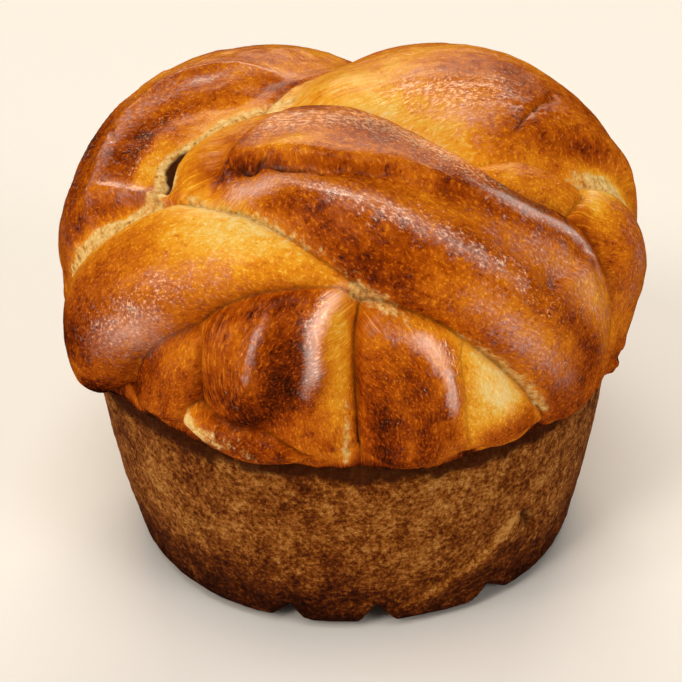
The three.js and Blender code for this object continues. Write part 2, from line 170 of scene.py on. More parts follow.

# Browning on each strand, in hundredths; below 0 is paler. A few rows are painted shade, as marked
STROKES = {"top": [
    (9, [-52, -38, -20], [-43, -25, -28], [-30, -14, -32], [-14, -8, -22]),
    (6, [-44, -46, -10], [-28, -62, -5], [-6, -79, -5]),
    (2.5, [-46, -50, -35], [-32, -62, -15], [-24, -68, 10], [-8, -80, 10], [12, -92, 0]),
    (12, [-18, -28, -18], [4, -26, -14], [26, -40, -8]),
    # painted shadow along the step under the upper roll
    (1.6, [-36, -44.5, 20], [-28, -44.5, 25], [-20, -46.5, 25], [-10, -50, 14], [14, -55, 10]),
    (7, [-12, -30, 6], [4, -34, 12], [20, -42, 10]),
    (4, [-46, -44, -10], [-38, -51, -20], [-30, -58, -10]),
    (4, [-18, -17, 20], [-10, -18, 22], [-4, -22, 0]),
    (5, [-24, -42, -10], [-14, -42, -26], [-6, -38, -10]),
    # painted shadow along the same step, further right
    (1.6, [36, -61, 12], [52, -63, 10], [70, -62, 12]),
    (3, [38, -47, 14], [70, -48, 30], [86, -54, 30]),
    (5, [20, -38, -10], [32, -42, -22], [36, -52, -10]),
    (5, [2, -47, -10], [20, -55, -10]),
    (5, [-26, -51, -14], [-12, -54, -18], [4, -64, -10], [22, -66, -10]),
    (8, [8, -84, 8], [20, -87, 6], [34, -91, 2], [48, -95, 2]),
    # painted shade in the crease across the right end
    (1.4, [76, -60, 10], [68, -67, 18], [59, -76, 10]),
    (4, [82, -48, 10], [90, -56, 10], [96, -62, -6]),
    (6, [24, -80, 6], [44, -86, -2], [62, -88, -10]),
    (4, [84, -104, 12], [94, -104, 10]),
    (7, [92, -88, 12], [102, -78, 6]),
    (6, [20, -62, -8], [44, -66, -8]),
    (5, [26, -57, 14], [40, -56, 14], [56, -55, 14], [76, -58, 14]),
    (9, [54, -68, -14], [66, -68, -26], [84, -68, -26], [96, -72, -20]),
    (7, [-18, -64, 10], [-6, -73, 20], [2, -80, 18], [14, -85, 4], [28, -86, -12]),
    (7, [38, -84, -10], [52, -87, -12], [66, -88, -5], [92, -92, -2]),
    (4, [66, -80, 12], [90, -81, 14]),
], "left": [
    (11, [-46, -2, -12], [-26, 10, -6], [-10, 28, -6], [0, 50, -12]),
    (5, [-50, 4, -22], [-42, 9, -26], [-32, 14, -10]),
    (6, [-32, 14, -14], [-28, 30, -12], [-16, 34, -20], [-8, 42, -14]),
    (4, [-68, -14, 6], [-58, -6, 8], [-50, -2, 0]),
    (9, [-90, -14, 12], [-80, 18, 12], [-58, 38, -4], [-30, 54, 14]),
    (4, [-26, 14, 10], [-16, 28, 14], [-8, 40, 12]),
    (5, [-72, -12, 14], [-60, 0, 15], [-48, 6, 26], [-34, 16, 20], [-22, 25, 14], [-12, 36, 0]),
    (8, [-66, 28, -10], [-56, 36, -22], [-40, 44, -20], [-5, 62, -20]),
    (3.5, [-65, -26, -35], [-61, -18, -30], [-56, -8, -15]),
    (4, [-58, -40, -40], [-74, -41, -40], [-94, -40, -40]),
    (6, [-62, -34, 24], [-72, -32, 8], [-88, -30, 8], [-108, -26, 8]),
    (9, [-108, -24, -4], [-96, 4, 0], [-84, 10, 8]),
], "shoulder": [
    (18, [-4, -6, -32], [-6, 14, -20], [0, 40, -10]),
    (12, [12, -18, -36], [30, -28, -30], [46, -28, -15]),
    (9, [22, 20, -10], [40, 22, -18], [60, 16, 4], [74, 4, 16]),
    (7, [4, 8, -12], [12, 6, -16], [20, 20, -8]),
    (7, [36, 10, 8], [48, 8, 14], [50, -6, 10]),
    (3, [58, -20, 10], [74, -14, 12], [90, -8, 10]),
    (6, [38, -24, 10], [48, -21, 20], [57, -8, 16], [60, 2, 12]),
    (5, [50, -22, 0], [72, -14, 10], [88, -6, 6]),
    (5, [56, -27, -15], [66, -24, 4], [76, -20, -10], [92, -13, -25]),
], "knuckle": [
    (8, [56, -36, 10], [66, -34, 12]),
], "right": [
    (5, [76, -38, -30], [78, -30, -35], [84, -24, -15]),
    (3, [70, -46, 20], [78, -48, 12], [86, -52, 6]),
    (8, [84, -28, 2], [92, -38, 14], [96, -48, 10]),
    (7, [108, -50, 4], [114, -58, 8], [118, -68, 14]),
], "front_left": [
    (13, [-46, -54, -26], [-30, -64, -34], [-8, -80, -22]),
    (8, [-46, -64, -20], [-34, -70, -20]),
    (9, [-88, -72, -2], [-66, -74, -6], [-48, -74, -4]),
    (4, [-60, -42, -15], [-50, -46, -25], [-42, -52, -10]),
    (5, [-124, -72, 55], [-114, -77, 20]),
    (5, [-56, -47, -20], [-76, -49, -20], [-92, -49, -12]),
    (10, [-108, -58, 28], [-96, -66, 22], [-78, -70, 12]),
    (9, [-122, -76, 30], [-104, -82, 12]),
    (5, [-119, -65, -15], [-112, -66, -10]),
], "tuck": [
    # painted shade under the front-left strand
    (9, [-102, -88, 20], [-84, -88, 20]),
    (10, [-104, -98, 16], [-90, -113, 30]),
    (6, [-78, -103, 6], [-66, -104, 10]),
    (5, [-72, -95, -10], [-60, -94, -14]),
    (6, [-88, -104, -12], [-100, -99, -20], [-112, -98, -12]),
    (4, [-74, -124, -20], [-88, -118, -25], [-98, -112, -20]),
], "end_left": [
    (9, [-23, -104, 26], [-27, -116, 30], [-40, -122, 26]),
    (9, [-50, -98, 6], [-54, -110, 14], [-46, -120, 10]),
    (6, [-5, -86, -24], [-4, -98, -32], [-5, -112, -28], [-8, -126, -20], [-12, -134, 10]),
    (6, [-16, -128, -6], [-34, -129, -6]),
    (4, [-54, -90, -20], [-56, -100, -15]),
    (3, [-42, -90, 8], [-26, -88, 12], [-12, -87, 10]),
    (4, [-6, -142, -20], [-14, -138, -10]),
], "hem_left": [
    (4, [-62, -122, 6], [-46, -129, 12], [-30, -135, 10]),
    (6, [-74, -114, -35], [-66, -118, -10]),
], "end_right": [
    (9, [8, -92, 0], [10, -100, -6], [24, -98, -22]),
    (8, [8, -118, 18], [12, -126, 18], [16, -142, 20]),
    (5, [22, -112, 10], [30, -134, 20]),
    (6, [36, -98, -20], [42, -104, -20], [40, -112, -15]),
    (5, [34, -120, 12], [37, -128, 10], [42, -132, -10]),
    (5, [10, -128, 10], [12, -142, 10], [26, -142, 10]),
    (5, [14, -134, -4], [22, -134, -10]),
    (5, [16, -100, 10], [22, -106, 12]),
], "leaf": [
    (7, [88, -112, 30], [70, -116, 20], [60, -122, 10]),
    (8, [42, -106, -28], [56, -111, -30], [64, -114, -20], [46, -118, -16]),
    (6, [46, -128, 0], [56, -124, 30], [66, -118, 36], [74, -112, 24]),
]}

# Torn dough that shows pale crumb
TEARS = [
    (4.2, [-56, -34, 1], [-54, -22, 1], [-45, -13, 1], [-33, -1, 0.9], [-22, 8, 0.6],
        [-12, 18, 0.2]),
    (3.4, [-60, -40, 0.7], [-72, -39.5, 0.9], [-86, -40, 1], [-104, -38, 0.9]),
    (1.6, [-46, -47, 0.7], [-28, -61, 0.6], [-10, -74, 0.35], [4, -84, 0.15]),
    (1.6, [36, -97, 0.3], [52, -101.5, 0.5], [70, -104.5, 0.6], [84, -107, 0.5]),
    (3.4, [72, -25, 0.35], [80, -21, 0.6], [90, -17, 0.9], [102, -15, 0.8]),
    (2.8, [-74, -113, 0.9], [-68, -117, 0.7], [-60, -122, 0.32], [-48, -128, 0.22],
        [-36, -134, 0.1]),
    (1.5, [-3, -118, 0.1], [-3.5, -130, 0.4], [-4, -146, 0.7]),
    (2.6, [2, -86, 0.6], [10, -90, 0.45], [18, -94, 0.2]),
]
TEAR_EDGE = (-2.0, 1.6)  # from outside a tear's edge to fully inside
TEAR_RAGS = (5.0, 0.5)  # size of the rags of that edge, and their share of the half width
TEAR_MARGIN = 2.6  # width of the pale dough beside a tear, which the wash missed
TEAR_PALING = 0.3  # how much paler it is

# Finely blistered skin: crinkled and a little browner, with painted glints where it glitters
BLISTERS_AND_GLINTS = [
    (10, [-18, -28, 1.3], [4, -30, 1.5], [24, -42, 1.5], [44, -52, 1.1], [66, -56, 0.6]),
    (5, [-14, -55, 0.8], [6, -66, 1], [24, -71, 1], [46, -78, 0.9], [66, -82, 0.6]),
    (9, [40, -66, 0.4], [66, -70, 0.5], [88, -70, 0.3]),
    (10, [16, -6, 1], [34, -8, 1.3], [52, 4, 0.8]),
    (6, [-66, -18, 0.9], [-60, -2, 0.8], [-50, 8, 0.5]),
    (4, [-90, -14, 0.5], [-78, 10, 0.7], [-54, 32, 0.7], [-20, 36, 0.7]),
    (8, [-102, -66, 0.4], [-78, -72, 1], [-56, -75, 0.8], [-34, -77, 0.5]),
    (6, [-58, -58, 0.3], [-30, -70, 0.4], [-10, -78, 0.3]),
    (4, [-8, -87, 1], [-12, -98, 1], [-13, -108, 0.9], [-17, -116, 0.5]),
    (5, [-34, -96, 0.4], [-42, -108, 0.7], [-46, -116, 0.4]),
    (4, [28, -99, 0.6], [33, -104, 1], [38, -112, 0.5]),
    (7, [14, -108, 0.5], [18, -122, 0.5]),
    (8, [52, -36, 0.6], [64, -38, 0.4]),
]
BLISTER_BROWNING = 0.05  # blistered skin bakes a little darker

# Thick shining egg wash: a glossier coat, and a painted sheen added to the crust's colour
WASH_AND_PAINTED_SHEEN = [
    (3, [-84, -30, 0.3], [-77, -16, 0.5], [-72, -4, 0.55], [-60, 12, 0.5], [-45, 22, 0.45],
        [-30, 28, 0.5], [-14, 34, 0.2]),
    (9, [-98, -34, 0.2], [-94, -8, 0.25], [-78, 22, 0.2], [-48, 44, 0.2], [-20, 56, 0.2]),
    (4.5, [-76, -22, 0.4], [-68, -28, 0.5], [-60, -35, 0.4], [-52, -42, 0.2]),
    (10, [20, -6, 0.4], [32, -16, 0.6], [44, -12, 0.4]),
    (8, [-20, -28, 0.2], [-4, -38, 0.05], [14, -47, 0.05], [36, -52, 0.15]),
    (2.6, [34, -56, 0.5], [46, -58, 1.1], [58, -57, 1.3], [70, -57, 1.1], [80, -62, 0.5]),
    (4.5, [-35, -49, 0.4], [-29, -52, 0.85], [-20, -53, 0.75], [-10, -54, 0.4]),
    (3.5, [-16, -53, 0.5], [-4, -61, 0.55], [10, -67, 0.6], [28, -74, 0.65], [48, -79, 0.5]),
    (9, [40, -68, 0.3], [58, -68, 0.45], [74, -70, 0.45], [90, -72, 0.3]),
    (6, [36, -86, 0.4], [54, -92, 0.55], [72, -94, 0.5], [88, -94, 0.3]),
    (9, [-92, -74, 0.4], [-78, -78, 0.8], [-66, -80, 0.5]),
    (8, [-54, -74, 0.4], [-38, -76, 0.35]),
    (8, [84, -30, 0.25], [94, -38, 0.35], [102, -50, 0.3]),
    (3.2, [-3, -86, 0.7], [-8, -92, 1.1], [-12, -99, 1.2], [-13, -107, 1.15], [-17, -115, 0.6]),
    (1.8, [-26, -92, 0.5], [-31, -98, 0.7], [-36, -107, 0.5]),
    (3.6, [6, -98, 0.3], [16, -99, 0.6], [25, -101, 1], [29, -105, 0.9]),
    (2.2, [27, -100, 0.5], [31, -107, 1], [35, -115, 0.9], [38, -120, 0.3]),
    (6, [46, -108, 0.3], [58, -112, 0.35]),
]

# Creases that gape, with painted shade in them as dark gaps
GAPS = [
    (2.5, [-58, -86, 0.2], [-46, -86, 0.5], [-34, -84, 0.4], [-14, -85, 0.2], [2, -88, 0.2]),
    (2.5, [-48, -92, 0.4], [-58, -104, 0.8], [-68, -113, 0.8]),
    (2.5, [1, -90, 0.7], [2, -104, 0.5], [1, -120, 0.6], [3, -146, 0.9]),
    (3, [-84, -84, 0.4], [-100, -86, 0.7], [-114, -90, 0.9]),
    (3, [82, -106, 0.3], [90, -110, 1]),
    (3, [-46, -50, 0.3], [-10, -74, 0.5], [12, -90, 0.3]),
    (3, [82, -48, 0.3], [98, -62, 0.8], [106, -84, 0.8]),
]
PALE_CREASE = 0.2  # painted shade in the other creases

# ---- rim and base
# Rise of the line where crown and base meet: degrees from the front, height
RIM_LINE = [(-180, 0), (-75, 0.3), (-52, 1.8), (-41, 4), (-36, 3), (-33, 1.6), (-27, 2.9),
            (-20, 1.9), (-10, 1.7), (0, 0.9), (15, 0), (180, 0)]
RIM_LINE_SPAN = 12.0  # how far above and below the line it is felt
RIM_CREASE = 1.6  # depth of the crease along that line
RIM_CREASE_WIDTH = 1.6
RIM_SHADE = (0.85, 0.5)  # painted shade in that crease, and how far it varies
RIM_DARKENING = 0.3  # the crown's lower edge, where it turns under, is darker
RIM_DARK_EDGE = (-5.0, -2.0)
RIM_DARK_STRAY = 1.6  # how far the edge of that band strays
CRISP_ANGLE = 66.0  # degrees from the front to the rim's frayed stretch
CRISP_SPAN = 11.0  # and its half length
CRISP_EDGE = (-26.0, -10.0)  # it sets in between these
CRISP_BROWNING = 0.2
LIP_SHADE = 4.8  # height of the ragged band of painted shade close under the crown's overhang
LIP_SOFTNESS = 1.0  # half the length over which it fades out

# Waves round the base, which is not quite round: lobes, amount at the foot, phase
WALL_WAVES = [(1, 0.5, 3.1), (2, 0.4, 0.4), (3, 0.6, -1.6), (5, 0.3, 4)]
WAVE_LOSS = 0.6  # share of the waves that is gone at the rim
WAVE_START = 30.0  # they fade in from this radius on the sole
WALL_FADE = 4.0  # length under the rim over which its own shape sets in
SOLE_FADE = 2.0  # height over which its roughness sets in
# Seams of the dough at the bottom edge: degrees from the front, depth, half width, height
SEAMS = [(-17.5, 4.5, 4, 10), (4.5, 5, 4, 10), (34, 4, 5, 9), (128, 4, 4.5, 9),
         (-140, 4.2, 4.5, 9)]
SEAM_START = 44.0  # they fade in from this radius on the sole
SEAM_TAPER = (0.5, 1.2)  # share of the half width at the top, and its gain below
SEAM_LIFT = 0.9  # its rise off the table, as a share of its depth
SEAM_SHADE = 0.7  # strength at which a seam's painted shade is full
# Slits in the wall, by distance round it from the front, height and depth
WALL_SLITS = [
    (1, [-41, 16, 1.8], [-39, 9, 1.4]),
    (0.9, [-53, 36, 1.5], [-51, 29, 1.2]),
    (1.6, [56, 34, 2.4], [60, 28, 2.2]),
    (0.8, [-22, 13, 1.2], [-21, 9, 1]),
]
SLIT_DARKNESS = 0.4  # painted shade in a slit, per millimetre of depth
# Fold pressed into the wall, in the same way
WALL_FOLD = (1.6, [54, 36, 0.4], [50, 31, 1.6], [38, 21, 1.3], [22, 12, 0.9], [10, 8, 0.4])
WALL_FOLD_SPAN = 4.0  # half widths over which its sides run out
WALL_FOLD_SHARE = 0.5  # share of the amount on each side

# ---- roughness: size of the features and how far they stand out
LUMPS = (22.0, 0.8)  # of the whole crown
BUMPS = (7.0, 0.4)  # of its skin
WRINKLES = (2.6, 0.3)  # of its skin, drawn out along the strands
WRINKLE_STRETCH = 5.0
CRUMB = (2.2, 0.5)  # where the dough tore
CRUMB_SINK = 0.3  # and how far it lies under the skin
FRAY = (5.0, 4.2)  # crisp flakes of the rim's frayed stretch
FRAY_SWELL = 0.8
RIM_WANDER = (16.0, 0.9)  # up and down, of the line where crown and base meet
RIM_RAGS = (4.0, 1.0)
LIP_RAGS = (5.0, 0.5)  # of the lower edge of that painted shade band, as a share of its height
LIP_FLAKES = (3.2, 2.2)  # in that band
WALL_LUMPS = (12.0, 0.35)
WALL_PORES = (2.6, 0.22)

# ---- looks
CROWN_VALUES = ("run", "across", "crease", "brown", "torn", "blister", "glaze")
RUN_GAP = 400.0  # keeps the grain of one strand apart from the next one's

# Display colours of the crust by its browning, and of the crumb and the tin's crust
CRUST_STOPS = [(0.00, 252, 218, 142), (0.14, 250, 194, 80), (0.28, 244, 166, 38),
               (0.42, 227, 135, 22), (0.55, 204, 108, 18), (0.68, 172, 78, 8),
               (0.80, 132, 50, 4), (0.91, 90, 30, 4), (1.00, 50, 17, 3)]
CRUMB_STOPS = [(0.32, 150, 88, 30), (0.44, 222, 168, 84), (0.62, 252, 222, 150)]
TIN_CRUST_STOPS = [(0.00, 44, 14, 3), (0.30, 90, 36, 6), (0.52, 134, 66, 12),
                   (0.76, 186, 114, 42), (1.00, 220, 160, 84)]
PAINTED_GLINT = (204, 174, 134)  # painted glints, added where blisters catch the light
PAINTED_SHEEN = (178, 171, 166)  # painted sheen, added to the colour where the wash is thick
# colour of the painted shade in creases, cracks, seams and slits, and close under the crown
CREASE_SHADE = (72, 30, 9)
PAPER = (254, 250, 243)
ROOM = (253, 246, 234)
WARM_GLOSS = (255, 244, 222)

STREAK_SHARE = 0.5  # streaks and flecks are this much narrower than long
FLECK_SHARE = 0.75
DARK_SPECK = 0.12  # how much the specks change the browning
PALE_SPECK = 0.16
CRUMB_COVER = 0.9  # how fully crumb and shaded creases cover the crust
CREASE_COVER = 0.98
TIN_CREASE_COVER = 0.9
PLAIN_SPECULAR = 0.05
WASH_ROUGHNESS = 0.14
TIN_ROUGHNESS = 0.7
PAPER_ROUGHNESS = 0.9

# ---- stage
FLOOR_HALF = 6000.0  # half the side of the paper that the loaf stands on
LIGHT_AIM = 70.0  # height of the point that the lights look at
ROOM_STRENGTH = 0.15
# Softboxes: azimuth, 0 in front and 90 on the right, and elevation in degrees, distance and
# size in metres, watts, colour, and whether the glossy crust shows them
LIGHTS = {
    "back_window": (176, 30, 4, (3, 1), 80, (1.0, 0.87, 0.70), True),
    "front_window": (-35, 45, 3, (0.6, 0.9), 20, (1.0, 0.93, 0.84), True),
    "side_window": (-68, 12, 2, (0.35, 0.7), 8, (1.0, 0.93, 0.84), True),
    "overhead": (-10, 78, 4, (2.4, 2.4), 68, (1.0, 0.98, 0.95), False),
    "fill": (50, 25, 3, (1, 0.8), 18, (1.0, 0.97, 0.94), False),
}
CAMERA_SENSOR = 36.0
CAMERA_LENS = 89.7
CAMERA_AIM = 72.0  # height of the point that it circles
CAMERA_DISTANCE = 532.8
CAMERA_ELEVATION = 30.0
CAMERA_TURNS = ((-1.5, "Z"), (0.34, "Y"), (-1.21, "X"))  # degrees of roll, yaw and pitch


# ---- small helpers
def smoothstep(x, low, high):
    f = np.clip((x - low) / (high - low), 0, 1)
    return f * f * (3 - 2 * f)


def bell(distance, width):
    """1 on a line, fading on both sides of it."""
    return np.exp(-((distance / width) ** 2))


def two_sided(side, distance, slope, span):
    """Up on one side of a line and down on the other."""
    return np.tanh(side * distance / slope) * bell(distance, span)


def wrapped(angle):
    """The same direction, within half a turn of the front."""
    return np.arctan2(np.sin(angle), np.cos(angle))


def turned(radius, compass, height):
    return np.column_stack([radius * np.cos(compass), radius * np.sin(compass), height])


def hashed(ix, iy, iz, seed):
    """A repeatable random number from -1 to 1 for each grid corner."""
    n = (ix * 73856093) ^ (iy * 19349663) ^ (iz * 83492791) ^ (seed * 2654435761)
    n = (n ^ (n >> 13)) * 1274126177
    n = n ^ (n >> 16)
    return (n & 0xFFFFFF) / float(0xFFFFFF) * 2 - 1


def noise(points, feature, seed, octaves=1):
    """Smooth random field at n by 3 points, for a feature's size and amount."""
    size, amount = feature
    total = np.zeros(len(points))
    weight = 1.0
    norm = 0.0
    for octave in range(octaves):
        p = points / size * 2.0**octave + OCTAVE_SHIFT * octave + seed
        base = np.floor(p).astype(np.int64)
        f = p - base
        f = f * f * f * (f * (f * 6 - 15) + 10)
        for corner in np.ndindex(2, 2, 2):
            share = np.prod(np.where(corner, f, 1 - f), axis=1)
            total += weight * share * hashed(*(base + corner).T, seed + octave)
        norm += weight
        weight *= OCTAVE_WEIGHT
    return amount * total / norm


def spline(rows, count):
    """Points on the smooth curve through the rows."""
    rows = np.asarray(rows, float)
    ends = np.vstack([2 * rows[0] - rows[1], rows, 2 * rows[-1] - rows[-2]])
    u = np.linspace(0, len(rows) - 1, count)
    i = np.minimum(u.astype(int), len(rows) - 2)
    t = (u - i)[:, None]
    a, b, c, d = (ends[i + k] for k in range(4))
    bend, twist = 2 * a - 5 * b + 4 * c - d, 3 * b - a - 3 * c + d
    return 0.5 * (2 * b + (c - a) * t + bend * t**2 + twist * t**3)


def line_field(rows, x, y):
    """Distance to a line, its side and its amount, at x and y."""
    line = spline(rows, 10 * len(rows))
    nearest = np.full_like(x, np.inf)
    side = np.ones_like(x)
    amount = np.zeros_like(x)
    for a, b in zip(line[:-1], line[1:]):
        dx, dy, rise = b - a
        f = np.clip(((x - a[0]) * dx + (y - a[1]) * dy) / (dx**2 + dy**2 + TINY), 0, 1)
        distance = np.hypot(x - a[0] - f * dx, y - a[1] - f * dy)
        closer = distance < nearest
        nearest = np.where(closer, distance, nearest)
        side = np.where(closer, np.sign(dx * (y - a[1]) - dy * (x - a[0])), side)
        amount = np.where(closer, a[2] + f * rise, amount)
    return nearest, side, amount


def stroke(width, rows, x, y):
    """Amount of one mark, strongest on its line."""
    nearest, _, amount = line_field(rows, x, y)
    return amount * bell(nearest, width)


def painted(marks, x, y):
    """Strongest of a table of marks."""
    field = np.zeros_like(x)
    for width, *rows in marks:
        field = np.maximum(field, stroke(width, rows, x, y))
    return field


# ---- envelope
def envelope():
    """Half outline from the top to the middle of the sole: radius, height and length along it."""
    crown, under, wall, foot = (np.linspace(0, 1, count)[1:] for count in OUTLINE_SAMPLES)
    crown, under, foot = (share * math.pi / 2 for share in (crown, under, foot))
    pieces = [
        ([0], [LOAF_HEIGHT]),
        (CROWN_RADIUS * np.sin(crown) ** CROWN_BOXINESS,
         BULGE_HEIGHT + (LOAF_HEIGHT - BULGE_HEIGHT) * np.cos(crown) ** CROWN_BOXINESS),
        (RIM_RADIUS + (CROWN_RADIUS - RIM_RADIUS) * np.cos(under) ** UNDER_BOXINESS,
         BULGE_HEIGHT - (BULGE_HEIGHT - RIM_HEIGHT) * np.sin(under) ** UNDER_BOXINESS),
        (RIM_RADIUS + (FOOT_RADIUS - RIM_RADIUS) * wall + WALL_BELLY * np.sin(math.pi * wall),
         RIM_HEIGHT + (FOOT_HEIGHT - RIM_HEIGHT) * wall),
        (SOLE_RADIUS + (FOOT_RADIUS - SOLE_RADIUS) * np.cos(foot),
         FOOT_HEIGHT * (1 - np.sin(foot))),
        ([0], [0]),
    ]
    radius, height = (np.concatenate(parts) for parts in zip(*pieces))
    along = np.append(0, np.cumsum(np.hypot(np.diff(radius), np.diff(height))))
    _, _, rim, _, sole, _ = np.cumsum([len(piece[0]) for piece in pieces]) - 1
    return radius, height, along, along[rim], along[sole]


ENV_RADIUS, ENV_HEIGHT, ENV_ALONG, RIM_ALONG, SOLE_ALONG = envelope()


def envelope_at(along):
    """Radius and height of the envelope, and its outward normal as out and up."""
    half_step = 0.5
    on_crown = along < RIM_ALONG
    before = np.maximum(along - half_step, np.where(on_crown, 0, RIM_ALONG))
    after = np.minimum(along + half_step, np.where(on_crown, RIM_ALONG, SOLE_ALONG))
    (radius, r_before, r_after), (height, z_before, z_after) = (
        [np.interp(place, ENV_ALONG, field) for place in (along, before, after)]
        for field in (ENV_RADIUS, ENV_HEIGHT)
    )
    length = np.hypot(r_after - r_before, z_after - z_before) + TINY
    return radius, height, (z_before - z_after) / length, (r_after - r_before) / length


# ---- crown
def strand_field(depth, fullness, rows, x, y):
    """Height over the envelope, and place along and across the strand."""
    line = spline(rows, STRAND_SAMPLES)
    length = np.append(0, np.cumsum(np.hypot(*np.diff(line[:, :2], axis=0).T)))
    spacing = length[-1] / (STRAND_SAMPLES - 1)
    tangent = np.gradient(line[:, :2], axis=0)
    tangent /= np.linalg.norm(tangent, axis=1)[:, None]
    total, level, width, run, across = (np.zeros_like(x) for _ in range(5))
    for i, (cx, cy, half_width, lift) in enumerate(line):
        dx = x - cx
        dy = y - cy
        squared = dx * dx + dy * dy + spacing**2
        w = (squared / half_width**2) ** (-NEARNESS / 2) * spacing / half_width
        total += w
        level += w * lift
        width += w * half_width
        run += w * length[i]
        across += w * (tangent[i, 0] * dy - tangent[i, 1] * dx)
    reach = (total / math.sqrt(2 * math.pi / NEARNESS)) ** (-1 / NEARNESS)
    inside = np.minimum(reach, 1) ** fullness
    deepest = 1 - math.sqrt(1 - SIDE_STEEPNESS)
    drop = depth * (1 - np.sqrt(1 - SIDE_STEEPNESS * inside)) / deepest
    beyond = np.maximum(reach - 1, 0) * width / total * FALL_AWAY
    return level / total - drop - beyond, run / total, across / total


def strand_layers(x, y):
    """Height, run and across of every strand, very low far from it."""
    layers = np.zeros((3, len(STRANDS), len(x)))
    layers[0] = FAR_LEVEL
    for i, (depth, fullness, _, *rows) in enumerate(STRANDS.values()):
        across, down, width, _ = np.transpose(rows)
        reach = REACH * width.max()
        near = (x > across.min() - reach) & (x < across.max() + reach)
        near &= (y > down.min() - reach) & (y < down.max() + reach)
        layers[:, i, near] = strand_field(depth, fullness, rows, x[near], y[near])
    return layers


def crease_distance(heights, x, y):
    """Distance to the crease between the highest strand and the next one that isn't its kin."""
    family = np.array([NAMES.index(KIN.get(name, name)) for name in NAMES])
    index = np.arange(len(x))
    first = heights.argmax(axis=0)
    second = np.where(family[:, None] == family[first], -np.inf, heights).argmax(axis=0)
    step = 0.4
    around = (heights, strand_layers(x + step, y)[0], strand_layers(x, y + step)[0])
    gap, gap_ahead, gap_aside = (h[first, index] - h[second, index] for h in around)
    slope = np.hypot(gap_ahead - gap, gap_aside - gap) / step
    return gap / np.maximum(slope, LEAST_SLOPE)


def soft_max(layers, softness):
    top = layers.max(axis=0)
    return top + softness * np.log(np.exp((layers - top) / softness).sum(axis=0))


def fold_height(kind, width, rows, x, y):
    if kind == "step":
        nearest, side, amount = line_field(rows, x, y)
        return amount * two_sided(side, nearest, STEP_SLOPE * width, STEP_SPAN * width)
    bump = stroke(width, rows, x, y)
    return -bump if kind == "groove" else bump


def crown_height(heights, crease, cracks, x, y):
    """Height of the crown over its envelope."""
    layers = np.vstack([heights, np.full(len(x), FLOOR_LEVEL)])
    for name, kin in KIN.items():
        pair = [NAMES.index(kin), NAMES.index(name)]
        layers[pair[0]] = soft_max(layers[pair], KIN_BLEND)
    height = soft_max(layers, BLEND) - CREASE_DEPTH * crease
    for kind, width, *rows in FOLDS:
        height += fold_height(kind, width, rows, x, y)
    fade = 1 - smoothstep(np.hypot(x, y), RIM_ALONG - RIM_FADE, RIM_ALONG)
    return (height - cracks) * fade


def strand_browning(heights, x, y):
    """Browning of the strands, blended where they meet, with their strokes, a few of which are
    painted shade.
    """
    share = np.exp((heights - heights.max(axis=0)) / COLOUR_BLEND)
    share /= share.sum(axis=0)
    brown = np.zeros_like(x)
    for part, (name, strand) in zip(share, STRANDS.items()):
        strokes = (stroke(width, rows, x, y) for width, *rows in STROKES.get(name, []))
        brown += part * (strand[2] + sum(strokes) / 100)
    return brown


def torn_fields(flat, x, y):
    """Where the dough is torn, and where the wash missed it beside the tears."""
    torn = np.zeros_like(x)
    unwashed = np.zeros_like(x)
    rags = noise(flat, TEAR_RAGS, SEED, 3)
    for width, *rows in TEARS:
        nearest, _, amount = line_field(rows, x, y)
        torn = np.maximum(torn, amount * smoothstep(width * (1 + rags) - nearest, *TEAR_EDGE))
        unwashed = np.maximum(unwashed, amount * bell(nearest, width + TEAR_MARGIN))
    return torn, unwashed


def crown_fields(x, y):
    """Height of the crown at points of the flat layout, and the values its material reads."""
    heights, runs, acrosses = strand_layers(x, y)
    crease = bell(crease_distance(heights, x, y), CREASE_WIDTH)
    flat = np.column_stack([x, y, 0 * x])
    astray_x, astray_y = (noise(flat, CRACK_WANDER, SEED + 13 + i, 2) for i in range(2))
    cracks = painted(CRACKS, x + astray_x, y + astray_y)
    torn, unwashed = torn_fields(flat, x, y)
    blister = painted(BLISTERS_AND_GLINTS, x, y) * (1 - torn)
    browning = BLISTER_BROWNING * blister - TEAR_PALING * unwashed
    # painted shade in the creases, strongest where they gape
    gap_shade = crease * np.maximum(PALE_CREASE, painted(GAPS, x, y))
    owner = heights.argmax(axis=0)
    index = np.arange(len(x))
    return crown_height(heights, crease, cracks, x, y), {
        "run": runs[owner, index] + RUN_GAP * owner,
        "across": acrosses[owner, index],
        # painted shade: in the creases and at the bottoms of the cracks
        "crease": np.maximum(gap_shade, CRACK_DARKNESS * cracks),
        "brown": strand_browning(heights, x, y) + browning,
        "torn": torn,
        "blister": blister,
        "glaze": painted(WASH_AND_PAINTED_SHEEN, x, y) * (1 - torn),
    }


def crispness(angle, from_rim):
    """Where the rim is frayed and crisp, from 0 to 1."""
    turn = np.degrees(wrapped(angle - math.radians(CRISP_ANGLE)))
    return bell(turn, CRISP_SPAN) * smoothstep(from_rim, *CRISP_EDGE)


def crown_relief(values, places, crisp):
    """Lumps and wrinkles of the crust, in and out of the strands' smooth shape."""
    torn = values["torn"]
    grain = np.column_stack([values["run"] / WRINKLE_STRETCH, values["across"], 0 * torn])
    skin = noise(places, BUMPS, SEED + 3, 2) + noise(grain, WRINKLES, SEED + 1, 2)
    crumb = noise(places, CRUMB, SEED + 4, 2) - CRUMB_SINK
    flakes = np.maximum(noise(places, FRAY, SEED + 9, 2), 0)
    lumps = noise(places, LUMPS, SEED + 2)
    return lumps + skin * (1 - torn) + crumb * torn + crisp * (FRAY_SWELL + flakes)


